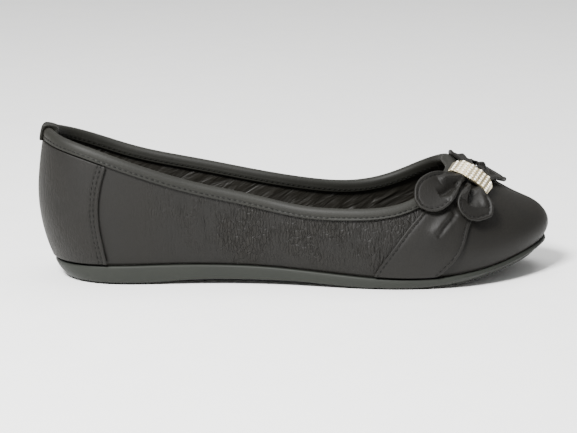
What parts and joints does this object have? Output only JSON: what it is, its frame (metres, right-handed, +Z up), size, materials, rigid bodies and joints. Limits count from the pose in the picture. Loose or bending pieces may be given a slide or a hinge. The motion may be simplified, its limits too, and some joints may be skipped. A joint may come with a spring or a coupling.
{
  "type": "ballet flat",
  "caption": "Flat round-toed slip-on shoe with a bound collar, a pleated strap across the vamp and a stitched bow held by a jewelled bar.",
  "frame": {"origin": "middle of the shoe's bounding box in plan, on the floor under the sole", "axes": "+X from heel to toe, +Y to the medial side (the lateral side is -Y), +Z up"},
  "size_m": [0.2522, 0.0884, 0.0756],
  "materials": {
    "smooth_leather": "matte nubuck",
    "edge_leather": "matte",
    "insole_fabric": "matte",
    "sole_rubber": "matte moulded",
    "ring_metal": "polished pale gold plate"
  },
  "bodies": {
    "root": {"outsole": "sole_rubber", "insole": "insole_fabric", "upper": "smooth_leather", "heel_counter": "smooth_leather", "topline_binding": "edge_leather", "heel_tab": "edge_leather", "vamp_strap": "smooth_leather", "bow_rear": "smooth_leather", "bow_front": "smooth_leather", "bow_ring": "ring_metal"}
  },
  "joints": []
}
